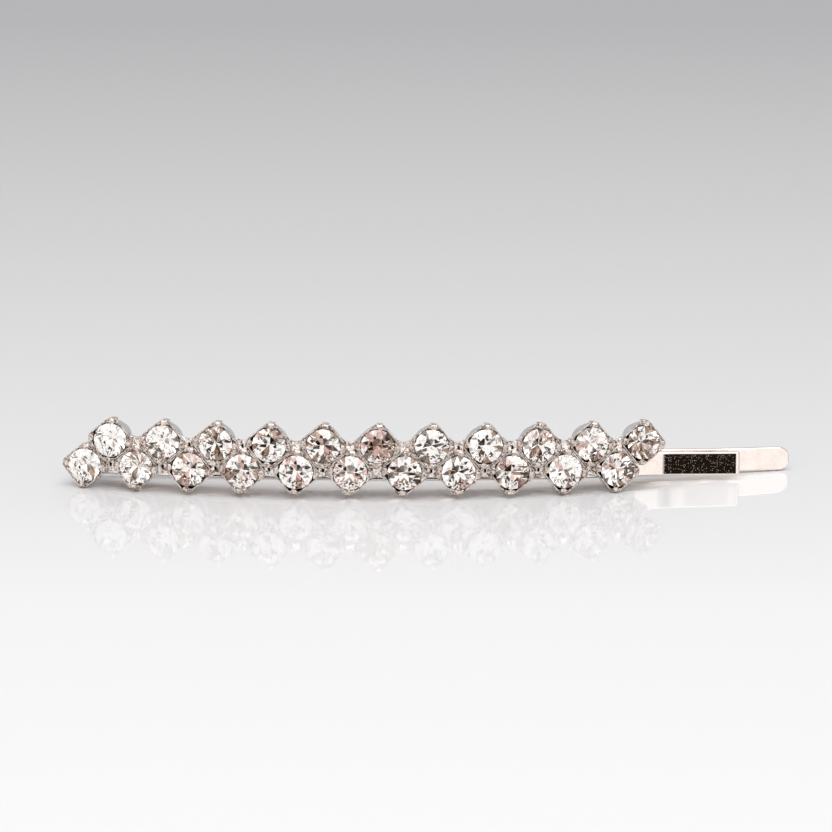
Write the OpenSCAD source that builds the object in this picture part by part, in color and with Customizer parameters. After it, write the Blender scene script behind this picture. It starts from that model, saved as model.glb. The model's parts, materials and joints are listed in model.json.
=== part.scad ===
// Hair clip: a flat spring pin whose bowed front arm carries two rows of round
// cut stones, each in a square four-prong cup turned onto its corner.
// The clip stands on its long edge. X runs along the pin, -Y is the stones' side,
// and the origin is under the middle of the clip. Millimetres and degrees.

/* [Stones and cups] */
// Stones in each of the two rows
stones_per_row = 11; // [5:1:11]
// Distance between two stones of a row, along the front arm's face
pitch = 4.6; // [4.6:0.05:5]
// Distance between the two rows
row_gap = 2.33; // [2.33:0.01:2.5]
// Diameter of a stone at its girdle
stone_d = 2.98; // [2.6:0.02:2.98]
// Side of the square cup
cup_side = 3.25; // [3.2:0.01:3.25]
// Turn of the cups away from standing straight on their corners, clockwise from the stones' side
cup_skew = 6; // [0:0.5:6]
// Radius of the cup's rounded corners
cup_corner_r = 0.65; // [0.6:0.05:0.9]
// Height of the cup, from its foot to its rim
cup_h = 2.25; // [2.15:0.05:2.4]
// Thickness of the cup's sheet metal
cup_wall = 0.12; // [0.08:0.01:0.12]
// Radius of one prong
prong_r = 0.3; // [0.25:0.01:0.32]

/* [Pin] */
// Width of the spring strip
strip_w = 2.1; // [1.8:0.1:2.4]
// Thickness of the spring strip
strip_t = 0.5; // [0.4:0.05:0.6]
// Radius of the bow that the front arm and the stones follow
bow_r = 86; // [80:1:100]
// Place on the bow where the front arm meets the bend
front_from = -15.5; // [-16:0.1:-15]
// Place on the bow where the front arm's tail starts
front_to = 16.5; // [16:0.1:17]
// Length of the front arm's tail beyond the stones
tail_len = 4.7; // [4:0.1:6]
// Slope of the tail against the clip's length
tail_slope = 4.4; // [3:0.1:6]
// Inner radius of the bend that joins the two arms
bend_r = 0.35; // [0.3:0.05:0.5]
// Radius of the back arm's gentle bow
back_bow_r = 300; // [280:5:400]
// Length of the back arm's bowed part
back_len = 52.8; // [50:0.1:53]
// Slope of the back arm's flipped tip
tip_slope = 13.5; // [12:0.5:16]
// Length of the tip's straight end
tip_len = 4.6; // [4:0.1:6]
// Radius of the tip's rounded corners
tip_r = 0.9; // [0.6:0.05:0.9]

/* [Solder] */
// Thickness of the solder between the cups and the front arm
seam_t = 0.12; // [0.08:0.01:0.2]
// Width of that solder seam
seam_w = 1.6; // [1:0.1:1.8]
// Radius of the hollow fillet between two cups of a row
fillet_r = 1; // [0.8:0.05:1.2]
// Height of the fillets
fillet_h = 1.95; // [1.6:0.05:2.1]

/* [Hidden] */

steel_color = [0.86, 0.74, 0.68];
silver_color = [0.80, 0.80, 0.82];
glass_color = [0.90, 0.93, 0.97];
fine = 48;
bow_steps = 40;
back_steps = 24;
turn_steps = 8;
nudge = 0.01;

// Cup: distance from its axis to a rounded corner's centre and to its tip, and the cone that
// the corners taper to
corner_at = (cup_side / 2 - cup_corner_r) * sqrt(2);
cup_tip = corner_at + cup_corner_r;
cup_taper = 16;
cup_foot_r = cup_tip - cup_h * tan(cup_taper);
seat_z = 0.8;
seat_t = 0.2;
seat_hole_r = 0.2;

// Stone: a round brilliant, its heights measured from the cup's foot. The table and the kites
// have facets points each, the girdle has twice as many
facets = 8;
stone_r = stone_d / 2;
table_r = 0.57 * stone_r;
crown_mid_r = 0.80 * stone_r;
crown_h = 0.45;
girdle_h = 0.1;
pavilion_h = 1.35;
culet_z = seat_z + seat_t - seat_hole_r * pavilion_h / stone_r + nudge;
girdle_z = culet_z + pavilion_h;
crown_z = girdle_z + girdle_h;
table_z = crown_z + crown_h;
stone_play = 0.02;
prong_inset = 0.04;
prong_sink = 0.1;
prong_rise = 0.08;
prong_at = cup_tip - prong_r - prong_inset;
prong_foot = girdle_z - prong_sink;
prong_top = crown_z + prong_rise;

// Places of the stones along the bow: the lower row is half a pitch to the left
row_shift = 0.25;
function bow_angle(len) = len / bow_r * 180 / PI;
function stone_at(i, shift) = bow_angle((i - (stones_per_row + 1) / 2 + shift) * pitch);
function upper_at(i) = stone_at(i, row_shift);
function lower_at(i) = stone_at(i, -row_shift);

// Arms seen from above, as stretches of arc that run on tangent to each other
mid_r = bow_r - strip_t / 2;
bow_c = [0, bow_r];
bend_mid_r = bend_r + strip_t / 2;
bend_c = bow_c + (mid_r - bend_mid_r) * [sin(front_from), -cos(front_from)];

tail_r = 18;
tail_c = bow_c + (mid_r + tail_r) * [sin(front_to), -cos(front_to)];
lip_r = 0.6;
lip_turn = 32;
lip_c = tail_c + (tail_r + lip_r) * [-sin(tail_slope), cos(tail_slope)]
    + tail_len * [cos(tail_slope), sin(tail_slope)];

back_from = -3;
back_to = back_from + back_len / back_bow_r * 180 / PI;
back_c = bend_c + (bend_mid_r + back_bow_r) * [-sin(back_from), cos(back_from)];
flip_r = 30;
flip_c = back_c + (back_bow_r - flip_r) * [sin(back_to), -cos(back_to)];
tip_start = flip_c + flip_r * [sin(tip_slope), -cos(tip_slope)];
tip_along = [cos(tip_slope), sin(tip_slope)];
tip_across = [-sin(tip_slope), cos(tip_slope)];

// The clip stands on the rims of the first and the last lower cup and on the tip's edge
foot_r = bow_r + seam_t + cup_h;
foot_shift = corner_at * sin(cup_skew);
foot_z = -corner_at * cos(cup_skew) - cup_corner_r;
function cup_foot(a) = [
    foot_r * sin(a) - foot_shift * cos(a),
    bow_r - foot_r * cos(a) - foot_shift * sin(a),
    foot_z
];
first_foot = cup_foot(lower_at(1));
last_foot = cup_foot(lower_at(stones_per_row));
tip_foot_at = tip_start + (tip_len - tip_r) * tip_along + strip_t / 2 * tip_across;
tip_foot = [tip_foot_at.x, tip_foot_at.y, -strip_w / 2];
ground = cross(last_foot - first_foot, tip_foot - first_foot);
lean = atan(ground.y / ground.z);
roll = -atan(ground.x * cos(lean) / ground.z);
stand_z = first_foot.x * sin(roll)
    - (first_foot.y * sin(lean) + first_foot.z * cos(lean)) * cos(roll);

// Middle of the standing clip's length and depth
tip_end = tip_start + tip_len * tip_along;
left_x = foot_r * sin(lower_at(1)) + foot_z * cos(lower_at(1));
right_x = tip_end.x + strip_t / 2 * sin(tip_slope);
front_y = -(seam_t + prong_top) * cos(lean) + (prong_at * sin(lean) - prong_r);
back_y = (tip_foot.y + tip_r * sin(tip_slope)) * cos(lean) - (strip_w / 2 - tip_r) * sin(lean);
mid_x = (left_x + right_x) / 2;
mid_y = (front_y + back_y) / 2;

// ---------- placing ----------

// From the pin's own frame, with the lower row at Z = 0, to the standing clip
module standing() {
    translate([-mid_x, -mid_y, stand_z]) rotate([lean, roll, 0]) children();
}

// On the front arm's face at angle a of the bow, with the local Z axis towards the stones' side
module on_bow(a) {
    translate([0, bow_r, 0]) rotate([0, 0, a]) translate([0, -bow_r - seam_t, 0]) rotate([90, 0, 0])
        children();
}

// ---------- spring strip ----------

// Points of an arc about centre c, from angle a0 to angle a1
function arc(c, r, a0, a1, steps) = [
    for (k = [0 : steps])
        let (a = a0 + (a1 - a0) * k / steps)
        c + r * [cos(a), sin(a)]
];
function reversed(points) = [for (k = [len(points) - 1 : -1 : 0]) points[k]];

// A strip on edge: its face towards the stones and its far face, each as a row of points
module strip(near, far) {
    linear_extrude(strip_w, center = true) polygon(concat(near, reversed(far)));
}

// A face of the front arm, at distance d from the strip's middle towards the back
function front_face(d) = concat(
    arc(bow_c, mid_r - d, front_from - 90, front_to - 90, bow_steps),
    arc(tail_c, tail_r + d, front_to + 90, tail_slope + 90, turn_steps),
    arc(lip_c, lip_r - d, tail_slope - 90, tail_slope + lip_turn - 90, turn_steps)
);

// A face of the back arm, from the bend to the end of its flipped tip
function back_face(d) = concat(
    arc(back_c, back_bow_r - d, back_from - 90, back_to - 90, back_steps),
    arc(flip_c, flip_r - d, back_to - 90, tip_slope - 90, turn_steps),
    [tip_end + d * tip_across]
);

// Outline of the back arm seen from its face near the tip, with rounded corners
module tip_outline() {
    side = strip_w / 2 - tip_r;
    translate([-2 * back_len, -strip_w]) square([2 * back_len + tip_len - tip_r, 2 * strip_w]);
    translate([0, -side]) square([tip_len, 2 * side]);
    for (y = [-side, side]) translate([tip_len - tip_r, y]) circle(tip_r, $fn = fine);
}

module front_arm() {
    color(steel_color) standing() strip(front_face(-strip_t / 2), front_face(strip_t / 2));
}

module spring_bend() {
    color(steel_color) standing() translate(bend_c) rotate([0, 0, back_from + 90])
        rotate_extrude(angle = 180 + front_from - back_from, $fn = fine)
            translate([bend_r, -strip_w / 2]) square([strip_t, strip_w]);
}

module back_arm() {
    color(steel_color) standing() intersection() {
        strip(back_face(-strip_t / 2), back_face(strip_t / 2));
        translate(tip_start) rotate([90, 0, tip_slope])
            linear_extrude(2 * back_len, center = true) tip_outline();
    }
}

// ---------- cups ----------

module rounded_square(side, r) {
    square([side, side - 2 * r], center = true);
    square([side - 2 * r, side], center = true);
    for (x = [-1, 1], y = [-1, 1]) translate([x, y] * (side / 2 - r)) circle(r, $fn = fine);
}

// The cup's outer shape moved inwards by inset: square on its corner, tapering to a round foot
module cup_shape(inset, z0, z1) {
    intersection() {
        translate([0, 0, z0]) linear_extrude(z1 - z0) rotate(45 - cup_skew)
            rounded_square(cup_side - 2 * inset, cup_corner_r - inset);
        cylinder(
            r1 = cup_foot_r - inset,
            r2 = cup_foot_r - inset + (cup_h + 1) * tan(cup_taper) + nudge,
            h = cup_h + 1,
            $fn = fine
        );
    }
}

// The space round a stone that the prongs keep clear of
module stone_space() {
    r = stone_r + stone_play;
    cylinder(r = r, h = crown_z + stone_play, $fn = fine);
    translate([0, 0, crown_z + stone_play - nudge / 10])
        cylinder(r1 = r, r2 = table_r + stone_play, h = crown_h, $fn = fine);
}

module prong() {
    translate([prong_at, 0, 0]) {
        translate([0, 0, prong_foot]) cylinder(r = prong_r, h = prong_top - prong_foot, $fn = fine);
        translate([0, 0, prong_top]) sphere(prong_r, $fn = fine);
    }
}

module cup() {
    difference() {
        cup_shape(0, 0, cup_h);
        cup_shape(cup_wall, seat_z + seat_t, cup_h + nudge);
        cup_shape(cup_wall, -nudge, seat_z);
        cylinder(r = seat_hole_r, h = cup_h, $fn = fine);
    }
    difference() {
        for (a = [0 : 90 : 270]) rotate([0, 0, a - cup_skew]) prong();
        stone_space();
    }
}

// ---------- stones ----------

// Points of one ring of a stone: n of them, the first one turned by a fraction of a step
function ring(n, r, z, turn = 0) = [
    for (i = [0 : n - 1])
        let (a = (i + turn) * 360 / n)
        [r * cos(a), r * sin(a), z]
];

// Round brilliant: table, star and kite facets, girdle, and a pointed pavilion
module stone() {
    kite_z = crown_z + (stone_r - crown_mid_r * cos(180 / facets)) * crown_h / (stone_r - table_r);
    points = concat(
        ring(facets, table_r, table_z),
        ring(facets, crown_mid_r, kite_z, 0.5),
        ring(2 * facets, stone_r, crown_z),
        ring(2 * facets, stone_r, girdle_z),
        [[0, 0, culet_z]]
    );
    last = facets - 1;
    mid = facets;
    top = 2 * facets;
    bottom = 4 * facets;
    culet = 6 * facets;
    function next(i) = (i + 1) % facets;
    function round_girdle(i) = i % (2 * facets);
    faces = concat(
        [[for (i = [last : -1 : 0]) i]],
        [for (i = [0 : last]) [i, next(i), mid + i]],
        [for (i = [0 : last]) [i, mid + i, top + 2 * i]],
        [for (i = [0 : last]) [i, top + 2 * i, mid + (i + last) % facets]],
        [for (i = [0 : last]) [mid + i, top + 2 * i + 1, top + 2 * i]],
        [for (i = [0 : last]) [mid + i, top + round_girdle(2 * i + 2), top + 2 * i + 1]],
        [
            for (i = [0 : 2 * facets - 1])
                [top + i, top + round_girdle(i + 1), bottom + round_girdle(i + 1), bottom + i]
        ],
        [for (i = [0 : 2 * facets - 1]) [bottom + i, bottom + round_girdle(i + 1), culet]]
    );
    polyhedron(points, faces);
}

module upper_cup(i) {
    color(silver_color) standing() on_bow(upper_at(i)) translate([0, row_gap, 0]) cup();
}

module lower_cup(i) {
    color(silver_color) standing() on_bow(lower_at(i)) cup();
}

module upper_stone(i) {
    color(glass_color) standing() on_bow(upper_at(i)) translate([0, row_gap, 0]) stone();
}

module lower_stone(i) {
    color(glass_color) standing() on_bow(lower_at(i)) stone();
}

// ---------- solder ----------

module solder_seam() {
    color(silver_color) standing() translate([0, bow_r, 0]) rotate([0, 0, front_from - 90])
        rotate_extrude(angle = upper_at(stones_per_row) - front_from, $fn = fine)
            translate([bow_r, -seam_w / 2]) square([seam_t, seam_w]);
}

// Filling between two cups of a row and the tip of the cup between them.
// side is 1 above the upper row and -1 below the lower row.
module fillet(a, side) {
    half = bow_angle(pitch / 2);
    difference() {
        on_bow(a) linear_extrude(fillet_h) rotate(side * 45) difference() {
            translate([-cup_corner_r, -cup_corner_r] * (1 - nudge)) square(cup_corner_r + fillet_r);
            translate([fillet_r, fillet_r]) circle(fillet_r, $fn = fine);
        }
        for (turn = [-half, half])
            on_bow(a + turn) cup_shape(0, -nudge, cup_h);
        on_bow(a) translate([0, -side * row_gap, 0]) cup_shape(0, -nudge, cup_h);
    }
}

module solder_fillets() {
    color(silver_color) standing() for (i = [1 : stones_per_row - 1]) {
        translate([0, 0, row_gap]) fillet(lower_at(i + 1), 1);
        fillet(upper_at(i), -1);
    }
}

// ---------- the clip ----------

front_arm();
spring_bend();
back_arm();
solder_seam();
solder_fillets();
for (i = [1 : stones_per_row]) {
    upper_cup(i);
    lower_cup(i);
    upper_stone(i);
    lower_stone(i);
}
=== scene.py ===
import json
import math
import random

import bpy
from mathutils import Matrix, Vector


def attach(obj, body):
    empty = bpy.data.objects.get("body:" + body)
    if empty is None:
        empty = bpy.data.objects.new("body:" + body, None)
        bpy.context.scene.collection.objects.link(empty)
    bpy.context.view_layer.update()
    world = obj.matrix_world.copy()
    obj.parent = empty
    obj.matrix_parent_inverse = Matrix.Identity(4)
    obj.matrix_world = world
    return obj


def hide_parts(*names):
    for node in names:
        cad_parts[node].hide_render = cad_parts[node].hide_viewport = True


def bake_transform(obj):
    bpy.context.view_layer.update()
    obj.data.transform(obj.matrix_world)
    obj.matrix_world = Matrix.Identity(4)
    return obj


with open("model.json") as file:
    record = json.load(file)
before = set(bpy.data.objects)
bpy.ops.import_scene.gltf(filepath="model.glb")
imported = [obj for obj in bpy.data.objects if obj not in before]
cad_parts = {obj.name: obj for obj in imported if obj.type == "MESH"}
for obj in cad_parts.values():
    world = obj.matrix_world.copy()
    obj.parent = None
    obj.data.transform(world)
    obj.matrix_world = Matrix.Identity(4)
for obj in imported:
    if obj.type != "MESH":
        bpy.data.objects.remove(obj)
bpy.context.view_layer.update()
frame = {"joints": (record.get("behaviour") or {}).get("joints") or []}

# ---------- driving dimensions of the part, in millimetres and degrees ----------

MM = 0.001
STONES = 11
PITCH = 4.6
ROW_SHIFT = 0.25
ROW_GAP = 2.33
STONE_R = 2.98 / 2
CUP_SIDE = 3.25
CUP_SKEW = 6
CUP_CORNER_R = 0.65
CUP_H = 2.25
CUP_WALL = 0.12
STRIP_W = 2.1
STRIP_T = 0.5
BOW_R = 86
FRONT_FROM = -15.5
FRONT_TO = 16.5
TAIL_LEN = 4.7
TAIL_SLOPE = 4.4
TAIL_R = 18
LIP_R = 0.6
LIP_TURN = 32
BEND_R = 0.35
BACK_FROM = -3
BACK_BOW_R = 300
BACK_LEN = 52.8
FLIP_R = 30
TIP_SLOPE = 13.5
TIP_LEN = 4.6
TIP_R = 0.9
SEAM_T = 0.12
SEAM_W = 1.6
FILLET_R = 1
FILLET_H = 1.95
CUP_TAPER = math.tan(math.radians(16))
SEAT_Z = 0.8
SEAT_T = 0.2
SEAT_HOLE_R = 0.2

CORNER_AT = (CUP_SIDE / 2 - CUP_CORNER_R) * math.sqrt(2)
CUP_TIP = CORNER_AT + CUP_CORNER_R
CUP_FOOT_R = CUP_TIP - CUP_H * CUP_TAPER
PAVILION_H = 1.35
GIRDLE_H = 0.1
CROWN_H = 0.45
CULET_GAP = 0.01
CULET_Z = SEAT_Z + SEAT_T - SEAT_HOLE_R * PAVILION_H / STONE_R + CULET_GAP
GIRDLE_Z = CULET_Z + PAVILION_H
CROWN_Z = GIRDLE_Z + GIRDLE_H
TABLE_Z = CROWN_Z + CROWN_H

dice = random.Random(419)


def polar(centre, r, angle):
    a = math.radians(angle)
    return (centre[0] + r * math.cos(a), centre[1] + r * math.sin(a))


def bow_angle(length):
    return math.degrees(length / BOW_R)


def upper_at(i):
    return bow_angle((i - (STONES + 1) / 2 + ROW_SHIFT) * PITCH)


def lower_at(i):
    return bow_angle((i - (STONES + 1) / 2 - ROW_SHIFT) * PITCH)


MID_R = BOW_R - STRIP_T / 2
BOW_C = (0, BOW_R)
BEND_MID_R = BEND_R + STRIP_T / 2
BEND_C = polar(BOW_C, MID_R - BEND_MID_R, FRONT_FROM - 90)
TAIL_C = polar(BOW_C, MID_R + TAIL_R, FRONT_TO - 90)
TAIL_END = polar(TAIL_C, TAIL_R, TAIL_SLOPE + 90)
LIP_FROM = polar(TAIL_END, TAIL_LEN, TAIL_SLOPE)
LIP_C = polar(LIP_FROM, LIP_R, TAIL_SLOPE + 90)
BACK_TO = BACK_FROM + math.degrees(BACK_LEN / BACK_BOW_R)
BACK_C = polar(BEND_C, BEND_MID_R + BACK_BOW_R, BACK_FROM + 90)
FLIP_C = polar(BACK_C, BACK_BOW_R - FLIP_R, BACK_TO - 90)
TIP_START = polar(FLIP_C, FLIP_R, TIP_SLOPE - 90)

# ---------- the clip's own frame, found again from the spring's axis ----------

spring = frame["joints"][0]
CLIP_Z = Vector(spring["axis"]).normalized()
CLIP_X = Vector((CLIP_Z.z, 0, -CLIP_Z.x)).normalized()
CLIP_Y = CLIP_Z.cross(CLIP_X)
SPRING_AT = Vector(spring["pos_m"])
CLIP = Matrix((CLIP_X, CLIP_Y, CLIP_Z)).transposed().to_4x4()
CLIP.translation = SPRING_AT - (CLIP_X * BEND_C[0] + CLIP_Y * BEND_C[1]) * MM
CLIP = CLIP @ Matrix.Scale(MM, 4)


def on_bow(angle, up=0.0):
    """From a cup's own frame, Z towards the stones' side, to the clip's frame."""
    return (
        Matrix.Translation((0, BOW_R, 0))
        @ Matrix.Rotation(math.radians(angle), 4, "Z")
        @ Matrix.Translation((0, -BOW_R - SEAM_T, 0))
        @ Matrix.Rotation(math.radians(90), 4, "X")
        @ Matrix.Translation((0, up, 0))
    )


# ---------- meshes ----------

class Shape:
    """Points and faces of one piece, with a material index for each face."""

    def __init__(self):
        self.points = []
        self.faces = []
        self.marks = []

    def add(self, points, faces, mark=0, place=None):
        base = len(self.points)
        for p in points:
            p = Vector(p)
            self.points.append(place @ p if place else p)
        self.faces += [[base + i for i in f] for f in faces]
        self.marks += [mark] * len(faces)


def grid_faces(rows, columns, close_rows=False, close_columns=True):
    faces = []
    for r in range(rows if close_rows else rows - 1):
        for c in range(columns if close_columns else columns - 1):
            a, b = r * columns + c, r * columns + (c + 1) % columns
            d, e = ((r + 1) % rows) * columns + (c + 1) % columns, ((r + 1) % rows) * columns + c
            faces.append([a, b, d, e])
    return faces


def piece(name, shape, materials, body, nodes, place=None, sharp=35, smooth=True):
    mesh = bpy.data.meshes.new(name)
    move = CLIP @ place if place else CLIP
    mesh.from_pydata([move @ p for p in shape.points], [], shape.faces)
    mesh.validate()
    for m in materials:
        mesh.materials.append(m)
    mesh.polygons.foreach_set("material_index", shape.marks)
    if smooth:
        mesh.shade_smooth()
        mesh.set_sharp_from_angle(angle=math.radians(sharp))
    else:
        mesh.shade_flat()
    mesh.update()
    obj = bpy.data.objects.new(name, mesh)
    bpy.context.scene.collection.objects.link(obj)
    if body:
        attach(obj, body)
    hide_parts(*nodes)
    return obj


# ---------- spring strip: a rounded rectangle swept along a path of arcs and lines ----------

SAME = 1e-9


class Path:
    """Plan of a strip's middle, with the direction towards its back face at each point."""

    def __init__(self):
        self.parts = []
        self.length = 0.0

    def arc(self, centre, r, start, stop, towards_centre=True):
        self.parts.append(("arc", self.length, centre, r, start, stop, -1 if towards_centre else 1))
        self.length += abs(math.radians(stop - start)) * r
        return self

    def line(self, start, angle, length):
        self.parts.append(("line", self.length, start, angle, length))
        self.length += length
        return self

    def at(self, s):
        part = [p for p in self.parts if p[1] <= s + SAME][-1]
        along = s - part[1]
        if part[0] == "line":
            return polar(part[2], along, part[3]), polar((0, 0), 1, part[3] + 90)
        _, _, centre, r, start, stop, sign = part
        angle = start + math.degrees(along / r) * (1 if stop > start else -1)
        return polar(centre, r, angle), polar((0, 0), sign, angle)


EDGE_R = 0.15
EDGE_STEPS = 5
SUPPORT = 0.025
MOST_ROUND = 0.98


def section(half_w, half_t):
    """Rounded rectangle as (across the width, through the thickness), with a support point beside
    each rounding."""
    r = min(EDGE_R, half_w * MOST_ROUND, half_t * MOST_ROUND)
    points = []
    for corner, (sx, sy) in enumerate(((1, 1), (-1, 1), (-1, -1), (1, -1))):
        centre = (sx * (half_w - r), sy * (half_t - r))
        for k in range(EDGE_STEPS + 1):
            points.append(polar(centre, r, 90 * (corner + k / EDGE_STEPS)))
        if corner in (0, 2):
            inner = max(half_w - r - SUPPORT, 0.0)
            points.append((sx * inner, sy * half_t))
            points.append((0, sy * half_t))
            points.append((-sx * inner, sy * half_t))
    return points


def rounding(d, r):
    """How far an end's rounding of radius r has come out at distance d from the end."""
    return 0.0 if d >= r else r - math.sqrt(max(r * r - (r - d) ** 2, 0))


def strip(path, stations, half_sizes):
    shape = Shape()
    rings = []
    for s in stations:
        at, back = path.at(s)
        half_w, half_t = half_sizes(path.length - s)
        outline = section(half_w, half_t)
        rings.append([(at[0] + back[0] * t, at[1] + back[1] * t, w) for w, t in outline])
    count = len(rings[0])
    points = [p for ring in rings for p in ring]
    last = (len(rings) - 1) * count
    faces = grid_faces(len(rings), count)
    faces.append(list(range(count - 1, -1, -1)))
    faces.append([last + i for i in range(count)])
    shape.add(points, faces)
    return shape


def spread(start, stop, step):
    count = max(1, round((stop - start) / step))
    return [start + (stop - start) * k / count for k in range(count + 1)]


# Distances from an end at which the strip gets a ring of points
END_STEPS = [0.14, 0.11, 0.08, 0.055, 0.035, 0.018, 0.006, 0.0]
TIP_STEPS = [0.9, 0.82, 0.74, 0.66, 0.58, 0.5, 0.43, 0.36, 0.3, 0.24, 0.19] + END_STEPS
TIP_FROM = 1.0
LIP_SHARES = (0.8, 0.6)
FRONT_STEP, BACK_STEP, BEND_STEP = 0.7, 0.8, 0.06
END_R = 0.1
TIP_EDGE_R = EDGE_R * 0.95


def plain_end(d):
    return STRIP_W / 2 - rounding(d, END_R), STRIP_T / 2 - rounding(d, END_R)


def round_tip(d):
    return STRIP_W / 2 - rounding(d, TIP_R), STRIP_T / 2 - rounding(d, TIP_EDGE_R)


def no_end(_):
    return STRIP_W / 2, STRIP_T / 2


front_path = (
    Path()
    .arc(BOW_C, MID_R, FRONT_FROM - 90, FRONT_TO - 90)
    .arc(TAIL_C, TAIL_R, FRONT_TO + 90, TAIL_SLOPE + 90, towards_centre=False)
    .line(TAIL_END, TAIL_SLOPE, TAIL_LEN)
    .arc(LIP_C, LIP_R, TAIL_SLOPE - 90, TAIL_SLOPE + LIP_TURN - 90)
)
back_path = (
    Path()
    .arc(BACK_C, BACK_BOW_R, BACK_FROM - 90, BACK_TO - 90)
    .arc(FLIP_C, FLIP_R, BACK_TO - 90, TIP_SLOPE - 90)
    .line(TIP_START, TIP_SLOPE, TIP_LEN)
)
bend_path = Path().arc(BEND_C, BEND_MID_R, BACK_FROM + 90, FRONT_FROM + 270)

lip_length = math.radians(LIP_TURN) * LIP_R
front_stations = (
    spread(0, front_path.length - lip_length, FRONT_STEP)
    + [front_path.length - lip_length * share for share in LIP_SHARES]
    + [front_path.length - d for d in END_STEPS]
)
back_stations = (
    spread(0, back_path.length - TIP_FROM, BACK_STEP)
    + [back_path.length - d for d in TIP_STEPS]
)

# ---------- cups ----------

CUP_TURNS = 96
# How sharply a cup's square and its cone meet: the higher, the sharper
CUP_BLEND = 120
LEDGE_Z = 2.17
WELL_PLAY = 0.012
WELL_GROWTH = 0.7
WELL_ROWS = 7
SPECKLED, WORN, CLEAN, PAINTED_SHADE = range(4)


def square_radius(angle, half, r):
    """Distance from a rounded square's middle to its edge, at an angle from a side's middle."""
    a = math.radians(abs((angle + 45) % 90 - 45))
    if half * math.tan(a) <= half - r:
        return half / math.cos(a)
    d = (half - r) * (math.cos(a) + math.sin(a))
    return d + math.sqrt(d * d - 2 * (half - r) ** 2 + r * r)


def cup_radius(angle, z, inset=0.0):
    """Outside of a cup at an angle about its axis: the rounded square, cut by its taper."""
    flat = square_radius(angle - 45 + CUP_SKEW, CUP_SIDE / 2 - inset, CUP_CORNER_R - inset)
    cone = CUP_FOOT_R - inset + z * CUP_TAPER
    return (flat ** -CUP_BLEND + cone ** -CUP_BLEND) ** (-1 / CUP_BLEND)


def cup_profile(well):
    """A cup's cut as rings, from the foot up the outside, over the rim, down the well to the seat
    and out below it: (inset from the outer wall, height), or (None, height, radius)."""
    outside = [
        (0.03, 0.0), (0.0, 0.03), (0.0, 0.3), (0.0, 0.8), (0.0, 1.3), (0.0, 1.8), (0.0, 2.1),
    ]
    rim = [
        (0.0, CUP_H - 0.04), (0.004, CUP_H - 0.02), (0.014, CUP_H - 0.006), (0.03, CUP_H),
        (CUP_WALL - 0.03, CUP_H), (CUP_WALL - 0.014, CUP_H - 0.006), (CUP_WALL, CUP_H - 0.03),
    ]
    ledge = [(CUP_WALL, LEDGE_Z + 0.03), (CUP_WALL + 0.03, LEDGE_Z)]
    inside = [
        (None, LEDGE_Z - 0.01, well + 0.04), (None, LEDGE_Z - 0.05, well), (None, 1.6, well),
        (None, 1.1, well), (None, 1.0, well - 0.1), (None, 1.0, 0.6), (None, 1.0, 0.24),
        (None, 0.97, 0.2), (None, 0.83, 0.2), (None, 0.8, 0.24), (None, 0.8, 0.6),
    ]
    below = [
        (0.35, SEAT_Z), (0.2, SEAT_Z - 0.02), (CUP_WALL, SEAT_Z - 0.06), (CUP_WALL, 0.3),
        (CUP_WALL - 0.02, 0.0),
    ]
    return outside, rim, ledge, inside, below


def cup_shape(shift):
    """A cup whose well is set off its middle by shift, so that a thin gap shows beside the
    stone; the well of a shifted cup gets painted shade."""
    well = STONE_R + WELL_PLAY + WELL_GROWTH * math.hypot(*shift)
    outside, rim, ledge, inside, below = cup_profile(well)
    rings = outside + rim + ledge + inside + below
    points = []
    for inset, z, *radius in rings:
        for k in range(CUP_TURNS):
            angle = 360 * k / CUP_TURNS
            if radius:
                x, y = polar(shift if radius[0] > 1 else (0, 0), radius[0], angle)
                toward = math.degrees(math.atan2(y, x))
                reach = min(math.hypot(x, y), cup_radius(toward, z, CUP_WALL))
                x, y = polar((0, 0), reach, toward)
            else:
                x, y = polar((0, 0), cup_radius(angle, z, inset), angle)
            points.append((x, y, z))
    shape = Shape()
    shape.add(points, grid_faces(len(rings), CUP_TURNS, close_rows=True))
    first_rim = len(outside) - 1
    first_well = len(outside) + len(rim) + len(ledge) + 1
    # Painted shade: the well below the ledge of a shifted cup gets the near-black recess metal
    for first, last, mark in (
        (0, first_rim, CLEAN),
        (first_rim, first_rim + len(rim) - 1, WORN),
        (first_well, first_well + WELL_ROWS, PAINTED_SHADE if shift[0] else SPECKLED),
    ):
        shape.marks[first * CUP_TURNS:last * CUP_TURNS] = [mark] * (CUP_TURNS * (last - first))
    prong_points, prong_faces = prong()
    for k in range(4):
        turn = Matrix.Rotation(math.radians(90 * k - CUP_SKEW), 4, "Z")
        shape.add(prong_points, prong_faces, WORN, place=turn)
    return shape


PRONG_SIDES = 20
PRONG_TOP = 2.44
PRONG_OUT = CUP_TIP - 0.14
PRONG_BEND = 0.14
PRONG_NOSE = 0.26
PRONG_NOSE_STEPS = 10
PRONG_FEET = (1.35, 1.8)
PRONG_W = 0.28
PRONG_T = 0.08


def signed_power(value, power):
    return math.copysign(abs(value) ** power, value)


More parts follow.
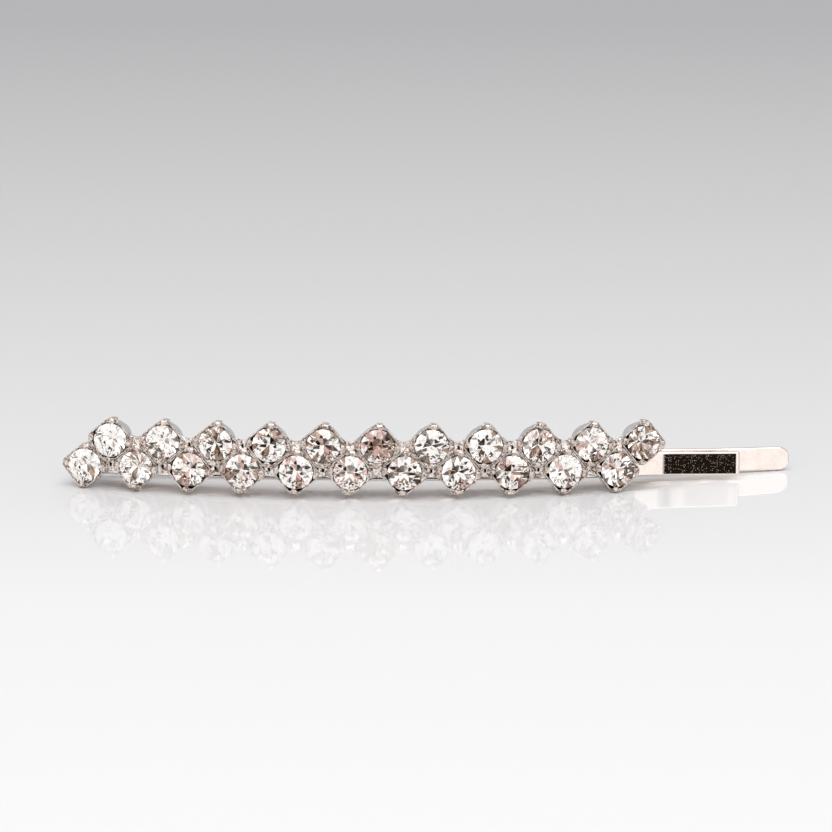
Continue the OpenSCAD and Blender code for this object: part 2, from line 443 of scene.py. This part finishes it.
def prong():
    """A tab that rises from a corner of the cup and is bent flat over the stone's edge, with a
    rounded nose. Its stations are (place, angle of its outer face, share of the full width)."""
    bend_at = (PRONG_OUT - PRONG_BEND, PRONG_TOP - PRONG_BEND)
    stations = [((PRONG_OUT, z), 0, 1.0) for z in (*PRONG_FEET, bend_at[1] - 0.03)]
    stations += [(polar(bend_at, PRONG_BEND, a), a, 1.0) for a in range(0, 91, 15)]
    for k in range(1, PRONG_NOSE_STEPS + 1):
        t = math.sin(math.radians(90 * k / PRONG_NOSE_STEPS))
        at = (bend_at[0] - PRONG_NOSE * t, PRONG_TOP)
        stations.append((at, 90, max(math.sqrt(max(1 - t ** 4, 0.0)), 0.05)))
    points = []
    for (out, z), angle, nose in stations:
        nx, nz = polar((0, 0), 1, angle)
        for j in range(PRONG_SIDES):
            c, s = polar((0, 0), 1, 360 * j / PRONG_SIDES)
            w = PRONG_W * nose * signed_power(c, 0.7)
            h = PRONG_T * nose ** 0.4 * signed_power(s, 0.4)
            points.append((out + nx * h, w, z + nz * h))
    faces = grid_faces(len(stations), PRONG_SIDES)
    faces.append(list(range(PRONG_SIDES - 1, -1, -1)))
    faces.append([(len(stations) - 1) * PRONG_SIDES + j for j in range(PRONG_SIDES)])
    return points, faces


# ---------- stones ----------

GLASS, FOIL = range(2)
TABLE_SHARE, KITE_SHARE, MAIN_SHARE = 0.55, 0.79, 0.42


def ring(n, r, z, turn=0.0):
    return [(*polar((0, 0), r, (i + turn) * 360 / n), z) for i in range(n)]


def stone_shape():
    """Round brilliant: table, stars, kites and halves above the girdle, mains and halves below
    it."""
    half = math.cos(math.radians(22.5))
    table_r, mid_r, low_r = (share * STONE_R for share in (TABLE_SHARE, KITE_SHARE, MAIN_SHARE))
    mid_z = CROWN_Z + (STONE_R - mid_r * half) * CROWN_H / (STONE_R - table_r)
    low_z = CULET_Z + low_r * half * PAVILION_H / STONE_R
    points = (
        ring(8, table_r, TABLE_Z)
        + ring(8, mid_r, mid_z, 0.5)
        + ring(16, STONE_R, CROWN_Z)
        + ring(16, STONE_R, GIRDLE_Z)
        + ring(8, low_r, low_z, 0.5)
        + [(0, 0, CULET_Z)]
    )
    mid, top, low, deep, culet = 8, 16, 32, 48, 56
    crown = [[i for i in range(8)]]
    pavilion = []
    for i in range(8):
        n, p = (i + 1) % 8, (i + 7) % 8
        crown.append([i, mid + i, n])
        crown.append([i, mid + p, top + 2 * i, mid + i])
        crown.append([mid + i, top + 2 * i, top + 2 * i + 1])
        crown.append([mid + i, top + 2 * i + 1, top + (2 * i + 2) % 16])
        pavilion.append([culet, deep + i, low + 2 * i, deep + p])
        pavilion.append([deep + i, low + 2 * i + 1, low + 2 * i])
        pavilion.append([deep + i, low + (2 * i + 2) % 16, low + 2 * i + 1])
    side = [[top + i, low + i, low + (i + 1) % 16, top + (i + 1) % 16] for i in range(16)]
    shape = Shape()
    shape.add(points, crown + side, GLASS)
    shape.faces += pavilion
    shape.marks += [FOIL] * len(pavilion)
    return shape


# Painted reflections on the foil behind a facet, each with its share of the facets: mostly near
# white, with rose, brown and dark shades standing in for reflected rose metal and dark surroundings
FOIL_PAINTED_REFLECTIONS = [
    ((0.985, 0.972, 0.960), 0.79),
    ((0.62, 0.44, 0.41), 0.04),
    ((0.34, 0.235, 0.175), 0.09),
    ((0.16, 0.125, 0.105), 0.08),
]
MAIN_CALM = 0.9


def paint_foil_reflections(obj):
    """Gives each facet its own painted reflection on the foil, as a colour attribute. The
    four-sided main facets get a painted dark reflection less often."""
    mesh = obj.data
    layer = mesh.color_attributes.new("foil", "FLOAT_COLOR", "CORNER")
    for face in mesh.polygons:
        pick = dice.random() * (MAIN_CALM if len(face.vertices) == 4 else 1.0)
        for colour, share in FOIL_PAINTED_REFLECTIONS:
            if pick < share:
                break
            pick -= share
        for corner in face.loop_indices:
            layer.data[corner].color = (*colour, 1.0)


# ---------- solder between the cups ----------

SOLDER_SINK = CUP_WALL * 0.4


def cup_hit(x, y, z, cups):
    """True where a point lies far enough within a cup's outer wall for the solder to end there."""
    for cx, cy in cups:
        dx, dy = x - cx, y - cy
        if math.hypot(dx, dy) < cup_radius(math.degrees(math.atan2(dy, dx)), z, SOLDER_SINK):
            return True
    return False


FAN = 20
FILLET_TURN = 48
TURN_STEP = 0.5
FILLET_REACH = 2.4
REACH_STEP = 0.02
LEAN_Z = 1.78
LEAN = 0.05
FILLET_LEVELS = [0.0, 0.4, 0.8, 1.2, 1.55, LEAN_Z, 1.9, FILLET_H]
TOP_ROWS = 7
CLIMB, END_CLIMB, SAG = 0.16, 0.10, 0.03
PIT_COLUMNS = (FAN // 2 - 3, FAN // 2 + 3)
PIT_ROWS = (4, 5)
PIT_DEPTH = 0.3
PIT_CHANCE = 0.6


def fillet_points(side):
    """Hollow face and back of the solder between two cups of a row and the cup of the other row
    below it, level by level, in the frame at its middle."""
    centre = (0.0, side * FILLET_R * math.sqrt(2))
    cups = [(-PITCH / 2, 0.0), (PITCH / 2, 0.0), (0.0, -side * ROW_GAP)]
    middle = -90 * side
    outs, backs = [], []
    for z in FILLET_LEVELS:
        lean_in = LEAN * max(0.0, (z - LEAN_Z) / (FILLET_H - LEAN_Z)) ** 2
        r = FILLET_R + (FILLET_H - z) * CUP_TAPER + lean_in
        ends = []
        for way in (-side, side):
            turn = 0.0
            while (turn < FILLET_TURN
                   and not cup_hit(*polar(centre, r, middle + way * turn), z, cups)):
                turn += TURN_STEP
            ends.append(turn)
        out, back = [], []
        for k in range(FAN + 1):
            angle = middle + side * (-ends[0] + (ends[0] + ends[1]) * k / FAN)
            reach = r
            while reach < FILLET_REACH and not cup_hit(*polar(centre, reach, angle), z, cups):
                reach += REACH_STEP
            out.append((*polar(centre, r, angle), z))
            back.append((*polar(centre, max(reach, r + 0.01), angle), z))
        outs.append(out)
        backs.append(back)
    return outs, backs


def top_row(row, hollow, back, pits):
    """One row of points across a fillet's top, which sags in the middle and climbs to the cups."""
    t = row / TOP_ROWS
    points = []
    for k, ((ox, oy, z), (bx, by, _)) in enumerate(zip(hollow, back)):
        edge = min(k, FAN - k) / (FAN / 2)
        dish = CLIMB * t ** 2 + END_CLIMB * (1 - edge) ** 2 - SAG * math.sin(math.pi * t) * edge
        if k in pits and row in PIT_ROWS:
            dish -= PIT_DEPTH
        points.append((ox + (bx - ox) * t, oy + (by - oy) * t, z + dish))
    return points


def add_fillet(shape, side, place):
    outs, backs = fillet_points(side)
    columns = FAN + 1
    pits = [at for at in PIT_COLUMNS if dice.random() < PIT_CHANCE]
    rows = outs + [top_row(j, outs[-1], backs[-1], pits) for j in range(1, TOP_ROWS)]
    rows.append([(x, y, z + CLIMB) for x, y, z in backs[-1]])
    rows += reversed(backs[:-1])
    count = len(rows)
    faces = grid_faces(count, columns, close_rows=True, close_columns=False)
    faces.append([r * columns for r in range(count)])
    faces.append([r * columns + FAN for r in range(count - 1, -1, -1)])
    if side < 0:
        faces = [f[::-1] for f in faces]
    first = len(shape.faces)
    shape.add([p for row in rows for p in row], faces, place=place)
    # Painted shade: besides its real dent, the faces round each pit get the near-black recess metal
    for at in pits:
        for r in range(PIT_ROWS[0] - 1, PIT_ROWS[-1] + 1):
            for k in (at - 1, at):
                shape.marks[first + (len(outs) - 1 + r) * FAN + k] = 1


SEAM_STEPS = 120
SEAM_SIDES = 16
SEAM_WAVE = 0.03


def seam_shape():
    """Solder bead between the cups' feet and the front arm, with rounded edges and a slightly wavy
    width."""
    rng = random.Random(7)
    start, stop = FRONT_FROM - 90, upper_at(STONES) - 90
    profile = []
    for k in range(SEAM_SIDES):
        c, s = polar((0, 0), 1, 360 * k / SEAM_SIDES)
        profile.append((signed_power(c, 0.35), signed_power(s, 0.6)))
    points = []
    for k in range(SEAM_STEPS + 1):
        half_w = SEAM_W / 2 + rng.uniform(-SEAM_WAVE, 0.0)
        for w, t in profile:
            out = BOW_R + SEAM_T / 2 + t * SEAM_T / 2
            points.append((*polar(BOW_C, out, start + (stop - start) * k / SEAM_STEPS), w * half_w))
    faces = grid_faces(SEAM_STEPS + 1, SEAM_SIDES)
    faces.append(list(range(SEAM_SIDES - 1, -1, -1)))
    faces.append([SEAM_STEPS * SEAM_SIDES + j for j in range(SEAM_SIDES)])
    shape = Shape()
    shape.add(points, faces)
    return shape


# ---------- materials ----------

class Paint:
    """A material with one Principled shader and helpers for the nodes that feed it."""

    def __init__(self, name, **values):
        self.material = bpy.data.materials.new(name)
        self.material.use_nodes = True
        self.tree = self.material.node_tree
        self.shader = self.tree.nodes["Principled BSDF"]
        for key, value in values.items():
            self.shader.inputs[key.replace("_", " ")].default_value = value
        self.coords = self.tree.nodes.new("ShaderNodeTexCoord").outputs["Object"]

    def node(self, kind, **values):
        node = self.tree.nodes.new(kind)
        for key, value in values.items():
            if key in node.inputs:
                if isinstance(value, bpy.types.NodeSocket):
                    self.tree.links.new(value, node.inputs[key])
                else:
                    node.inputs[key].default_value = value
            else:
                setattr(node, key, value)
        return node

    def link(self, output, socket):
        self.tree.links.new(output, self.shader.inputs[socket])

    def noise(self, size_mm, detail=3.0, roughness=0.5):
        scale = 1 / (size_mm * MM)
        node = self.node("ShaderNodeTexNoise", Scale=scale, Detail=detail, Roughness=roughness)
        self.tree.links.new(self.coords, node.inputs["Vector"])
        return node.outputs["Fac"]

    def cells(self, size_mm):
        node = self.node("ShaderNodeTexVoronoi", feature="F1", Scale=1 / (size_mm * MM))
        self.tree.links.new(self.coords, node.inputs["Vector"])
        return node.outputs["Distance"]

    def span(self, value, low, high, to_low, to_high):
        limits = {"From Min": low, "From Max": high, "To Min": to_low, "To Max": to_high}
        return self.node("ShaderNodeMapRange", Value=value, **limits).outputs["Result"]

    def ramp(self, value, stops):
        node = self.node("ShaderNodeValToRGB", Fac=value)
        ramp = node.color_ramp
        for k, (at, colour) in enumerate(stops):
            stop = ramp.elements[k] if k < 2 else ramp.elements.new(at)
            stop.position = at
            stop.color = (*colour, 1.0)
        return node.outputs["Color"]

    def bump(self, height, depth_mm, under=None):
        distance = abs(depth_mm) * MM
        node = self.node("ShaderNodeBump", Height=height, Strength=1.0, Distance=distance)
        node.invert = depth_mm < 0
        if under:
            self.tree.links.new(under, node.inputs["Normal"])
        return node.outputs["Normal"]


ROUGHNESS_MM = 0.35
WAVE_MM = 1.4


def plating(name, tones, rough, tone_mm, contrast, grain_mm, grain_depth, wave_depth, pit_mm,
            pit_depth, pit_share=0.3, tilt=0.0):
    """Metal with mottled tones, waves, grain and pits, all sized in mm. tilt turns its shading
    about the clip's length, in degrees, as a strip with slightly domed faces would."""
    dark, mid, light = tones
    stops = [(0.5 - contrast, dark), (0.5 + contrast, light), (0.5, mid)]
    paint = Paint(name, Metallic=1.0)
    paint.link(paint.ramp(paint.noise(tone_mm, 5.0, 0.65), stops), "Base Color")
    paint.link(paint.span(paint.noise(ROUGHNESS_MM), 0.3, 0.7, *rough), "Roughness")
    upward = paint.node("ShaderNodeSeparateXYZ", Vector=paint.coords).outputs["Z"]
    tilted = paint.bump(upward, math.tan(math.radians(tilt)) / MM)
    wave = paint.bump(paint.noise(WAVE_MM, 2.0), wave_depth, under=tilted)
    grain = paint.bump(paint.noise(grain_mm, 2.0, 0.6), grain_depth, under=wave)
    pits = paint.span(paint.cells(pit_mm), 0.0, pit_share, 0.0, 1.0)
    paint.link(paint.bump(pits, pit_depth, under=grain), "Normal")
    return paint.material


rose = plating(
    "rose_plating", ((0.86, 0.74, 0.68), (0.92, 0.84, 0.79), (0.95, 0.89, 0.85)),
    rough=(0.004, 0.012), tone_mm=0.9, contrast=0.22, grain_mm=0.09, grain_depth=0.0001,
    wave_depth=0.0003, pit_mm=0.13, pit_depth=0.002, pit_share=0.22, tilt=-2.0,
)
silver = plating(
    "speckled_silver", ((0.20, 0.12, 0.085), (0.85, 0.79, 0.745), (0.98, 0.955, 0.94)),
    rough=(0.12, 0.3), tone_mm=0.24, contrast=0.09, grain_mm=0.14, grain_depth=0.05,
    wave_depth=0.008, pit_mm=0.26, pit_depth=0.03,
)
clean = plating(
    "clean_silver", ((0.80, 0.78, 0.77), (0.92, 0.91, 0.90), (0.97, 0.96, 0.95)),
    rough=(0.05, 0.12), tone_mm=0.5, contrast=0.12, grain_mm=0.2, grain_depth=0.004,
    wave_depth=0.006, pit_mm=0.4, pit_depth=0.003,
)
# Painted shade: near-black metal for the wells of shifted cups and the solder's pits, standing in
# for the shade in these recesses
dark = plating(
    "painted_shade_recess", ((0.03, 0.02, 0.016), (0.06, 0.045, 0.038), (0.12, 0.09, 0.075)),
    rough=(0.3, 0.5), tone_mm=0.3, contrast=0.12, grain_mm=0.2, grain_depth=0.01,
    wave_depth=0.006, pit_mm=0.3, pit_depth=0.005,
)
worn = plating(
    "worn_silver", ((0.24, 0.15, 0.11), (0.72, 0.62, 0.56), (0.94, 0.89, 0.855)),
    rough=(0.2, 0.36), tone_mm=0.22, contrast=0.12, grain_mm=0.12, grain_depth=0.03,
    wave_depth=0.004, pit_mm=0.3, pit_depth=0.012,
)
solder = plating(
    "solder_plating", ((0.16, 0.10, 0.075), (0.83, 0.755, 0.715), (0.97, 0.94, 0.92)),
    rough=(0.12, 0.28), tone_mm=0.26, contrast=0.1, grain_mm=0.2, grain_depth=0.06,
    wave_depth=0.02, pit_mm=0.3, pit_depth=0.035,
)

glass_paint = Paint("cut_glass", Metallic=0.0, IOR=1.56, Transmission_Weight=1.0)
cool_to_warm = [(0.3, (0.985, 0.99, 1.0)), (0.7, (1.0, 0.995, 0.985))]
glass_paint.link(glass_paint.ramp(glass_paint.noise(2.0), cool_to_warm), "Base Color")
glass_paint.link(glass_paint.span(glass_paint.noise(0.25, 4.0), 0.5, 0.8, 0.0, 0.02), "Roughness")
glass = glass_paint.material

# The foil's colour carries each facet's painted reflection, read from the per-facet colour
# attribute
foil_paint = Paint("mirror_foil_painted_reflections", Metallic=1.0)
facet_painted_reflection = foil_paint.node("ShaderNodeVertexColor", layer_name="foil").outputs["Color"]
mottling = [(0.3, (0.94, 0.92, 0.91)), (0.6, (1.0, 1.0, 1.0))]
mottle = foil_paint.ramp(foil_paint.noise(0.5, 4.0), mottling)
mixed = foil_paint.tree.nodes.new("ShaderNodeMix")
mixed.data_type = "RGBA"
mixed.blend_type = "MULTIPLY"
mixed.inputs[0].default_value = 1.0
foil_paint.tree.links.new(facet_painted_reflection, mixed.inputs[6])
foil_paint.tree.links.new(mottle, mixed.inputs[7])
foil_paint.link(mixed.outputs[2], "Base Color")
foil_paint.link(foil_paint.span(foil_paint.noise(0.2), 0.3, 0.7, 0.005, 0.03), "Roughness")
foil_paint.link(foil_paint.bump(foil_paint.noise(0.3, 2.0), 0.001), "Normal")
foil = foil_paint.material

# ---------- the pieces ----------

STRIP_SHARP = 50
SETTING_SHARP = 60

piece("front_arm_strip", strip(front_path, front_stations, plain_end), [rose], "stone_side",
      ["front_arm"], sharp=STRIP_SHARP)
piece("back_arm_strip", strip(back_path, back_stations, round_tip), [rose], "back_arm",
      ["back_arm"], sharp=STRIP_SHARP)
bend_stations = spread(0, bend_path.length, BEND_STEP)
bend = piece("spring_bend_strip", strip(bend_path, bend_stations, no_end), [rose], None,
             ["spring_bend"], sharp=STRIP_SHARP)
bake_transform(bend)

piece("solder_bead", seam_shape(), [solder], "stone_side", ["solder_seam"])
menisci = Shape()
for i in range(1, STONES):
    add_fillet(menisci, 1, on_bow(lower_at(i + 1), ROW_GAP))
    add_fillet(menisci, -1, on_bow(upper_at(i)))
# The menisci's second material is the painted shade in their pits
piece("solder_menisci", menisci, [solder, dark], "stone_side", ["solder_fillets"],
      sharp=SETTING_SHARP)

# How far a cup's well may sit off its middle, and between which angles
WELL_SHIFTS = (0.0, 0.0, 0.0, 0.08, 0.12)
SHIFT_FROM, SHIFT_TO = 200, 240
for row, place_at, up in (("upper", upper_at, ROW_GAP), ("lower", lower_at, 0.0)):
    for i in range(1, STONES + 1):
        place = on_bow(place_at(i), up)
        shift = polar((0, 0), dice.choice(WELL_SHIFTS), dice.uniform(SHIFT_FROM, SHIFT_TO))
        piece(f"{row}_setting_{i}", cup_shape(shift), [silver, worn, clean, dark], "stone_side",
              [f"{row}_cup_{i}"], place=place, sharp=SETTING_SHARP)
        turn = Matrix.Rotation(math.radians(dice.uniform(0, 45)), 4, "Z")
        gem = piece(f"{row}_chaton_{i}", stone_shape(), [glass, foil], "stone_side",
                    [f"{row}_stone_{i}"], place=place @ turn, smooth=False)
        paint_foil_reflections(gem)

# ---------- floor ----------

FLOOR_R = 1.6
FLOOR_SIDES = 64
FLOOR_SPAN = 0.22
# Painted light and shade on the floor, from FLOOR_SPAN in front of the clip to FLOOR_SPAN behind
# it: dark far in front, a bright lit band just in front of the clip, darker again behind it. The
# first two stops are the ramp's own ends.
FLOOR_PAINTED_LIGHT = [
    (0.0, (0.28, 0.28, 0.28)), (1.0, (0.45, 0.45, 0.46)), (0.16, (0.30, 0.30, 0.30)),
    (0.27, (0.88, 0.88, 0.88)), (0.42, (0.86, 0.86, 0.865)), (0.5, (0.78, 0.78, 0.785)),
]

floor_mesh = bpy.data.meshes.new("floor")
floor_edge = [(*polar((0, 0), FLOOR_R, 360 * k / FLOOR_SIDES), 0.0) for k in range(FLOOR_SIDES)]
floor_faces = [[0, 1 + k, 1 + (k + 1) % FLOOR_SIDES] for k in range(FLOOR_SIDES)]
floor_mesh.from_pydata([(0.0, 0.0, 0.0)] + floor_edge, [], floor_faces)
floor = bpy.data.objects.new("floor", floor_mesh)
bpy.context.scene.collection.objects.link(floor)
floor_paint = Paint("pale_gloss_painted_light", IOR=1.33)
along = floor_paint.node("ShaderNodeSeparateXYZ", Vector=floor_paint.coords).outputs["Y"]
along = floor_paint.span(along, -FLOOR_SPAN, FLOOR_SPAN, 0.0, 1.0)
# Painted light and shade: the floor's colour follows how far in front of or behind the clip it lies
floor_paint.link(floor_paint.ramp(along, FLOOR_PAINTED_LIGHT), "Base Color")
floor_paint.link(floor_paint.span(floor_paint.noise(40.0), 0.3, 0.7, 0.02, 0.035), "Roughness")
floor_mesh.materials.append(floor_paint.material)

# ---------- light ----------

world = bpy.data.worlds.new("studio")
bpy.context.scene.world = world
world.use_nodes = True
tree = world.node_tree
background = tree.nodes["Background"]
direction = tree.nodes.new("ShaderNodeTexCoord").outputs["Generated"]
split = tree.nodes.new("ShaderNodeSeparateXYZ")
tree.links.new(direction, split.inputs[0])


def feed(socket, value):
    if isinstance(value, bpy.types.NodeSocket):
        tree.links.new(value, socket)
    else:
        socket.default_value = value


def world_range(value, zone, to_low, to_high):
    node = tree.nodes.new("ShaderNodeMapRange")
    node.interpolation_type = "SMOOTHSTEP"
    tree.links.new(value, node.inputs["Value"])
    low, high = zone
    for key, v in (("From Min", low), ("From Max", high), ("To Min", to_low), ("To Max", to_high)):
        node.inputs[key].default_value = v
    return node.outputs["Result"]


def rises(axis, zone):
    return world_range(split.outputs[axis], zone, 0.0, 1.0)


def falls(axis, zone):
    return world_range(split.outputs[axis], zone, 1.0, 0.0)


def product(a, b):
    node = tree.nodes.new("ShaderNodeMath")
    node.operation = "MULTIPLY"
    feed(node.inputs[0], a)
    feed(node.inputs[1], b)
    return node.outputs[0]


def world_mix(factor, a, b):
    node = tree.nodes.new("ShaderNodeMix")
    node.data_type = "RGBA"
    feed(node.inputs[0], factor)
    feed(node.inputs[6], a)
    feed(node.inputs[7], b)
    return node.outputs[2]


ROOM_LOW = (0.50, 0.50, 0.51, 1.0)
ROOM_HIGH = (0.66, 0.66, 0.67, 1.0)
FRONT_PANEL = (1.6, 1.58, 1.56, 1.0)
FRONT_CARD = (1.1, 1.08, 1.06, 1.0)
CLUTTER = (0.14, 0.115, 0.10, 1.0)
DARK_ROOM = (0.016, 0.010, 0.007, 1.0)
# Edges of the zones, as components of the direction looked in: Y to the back, Z up
ROOM_Z = (0.1, 0.45)
FRONT_Y = (-0.62, -0.5)
PANEL_Z, PANEL_TOP = (0.27, 0.32), (0.86, 0.92)
CARD_TOP = (0.27, 0.31)
CLUTTER_Y = (0.1, 0.4)
DARK_Y, DARK_Z = (-0.928, -0.914), (0.075, 0.105)
# The noise's values between which the clutter fades out, and its strength
CLUTTER_NOISE, CLUTTER_SHARE = (0.40, 0.52), 0.8

frontal = falls("Y", FRONT_Y)
colour = world_mix(rises("Z", ROOM_Z), ROOM_LOW, ROOM_HIGH)
panel = product(product(frontal, rises("Z", PANEL_Z)), falls("Z", PANEL_TOP))
colour = world_mix(panel, colour, FRONT_PANEL)
clutter = tree.nodes.new("ShaderNodeTexNoise")
clutter.inputs["Scale"].default_value = 4.2
clutter.inputs["Detail"].default_value = 3.0
tree.links.new(direction, clutter.inputs["Vector"])
cluttered = world_range(clutter.outputs["Fac"], CLUTTER_NOISE, CLUTTER_SHARE, 0.0)
colour = world_mix(product(cluttered, falls("Y", CLUTTER_Y)), colour, CLUTTER)
colour = world_mix(product(frontal, falls("Z", CARD_TOP)), colour, FRONT_CARD)
colour = world_mix(product(falls("Y", DARK_Y), falls("Z", DARK_Z)), colour, DARK_ROOM)
tree.links.new(colour, background.inputs["Color"])
background.inputs["Strength"].default_value = 1.0


def softbox(name, at, aim, width, depth, power):
    light = bpy.data.lights.new(name, "AREA")
    light.shape = "RECTANGLE"
    light.size, light.size_y = width, depth
    light.energy = power
    obj = bpy.data.objects.new(name, light)
    obj.location = at
    obj.rotation_euler = (Vector(aim) - Vector(at)).to_track_quat("-Z", "Y").to_euler()
    obj.visible_camera = False
    bpy.context.scene.collection.objects.link(obj)


softbox("softbox_top", at=(0.0, -0.12, 0.6), aim=(0, -0.05, 0), width=0.7, depth=0.5, power=2.4)

# ---------- camera ----------

CAM_AZIMUTH, CAM_ELEVATION, CAM_ROLL = -0.32, 15.16, 0.38
CAM_DISTANCE, CAM_ANGLE = 0.436, 9.604
AIM_RIGHT, AIM_UP = -1.15 * MM, 5.98 * MM
az, el, ro = (math.radians(v) for v in (CAM_AZIMUTH, CAM_ELEVATION, CAM_ROLL))
back = Vector((math.sin(az) * math.cos(el), -math.cos(az) * math.cos(el), math.sin(el)))
right = Vector((math.cos(az), math.sin(az), 0))
up = back.cross(right)
target = right * AIM_RIGHT + up * AIM_UP
camera_data = bpy.data.cameras.new("camera")
camera_data.angle = math.radians(CAM_ANGLE)
camera_data.clip_start, camera_data.clip_end = 0.01, 20
camera = bpy.data.objects.new("camera", camera_data)
turned_right = right * math.cos(ro) + up * math.sin(ro)
turned_up = up * math.cos(ro) - right * math.sin(ro)
camera.matrix_world = Matrix((turned_right, turned_up, back)).transposed().to_4x4()
camera.location = target + back * CAM_DISTANCE
bpy.context.scene.collection.objects.link(camera)
scene = bpy.context.scene
scene.camera = camera
scene.view_settings.view_transform = "Standard"
scene.cycles.max_bounces = 14
scene.cycles.glossy_bounces = 10
scene.cycles.transmission_bounces = 12
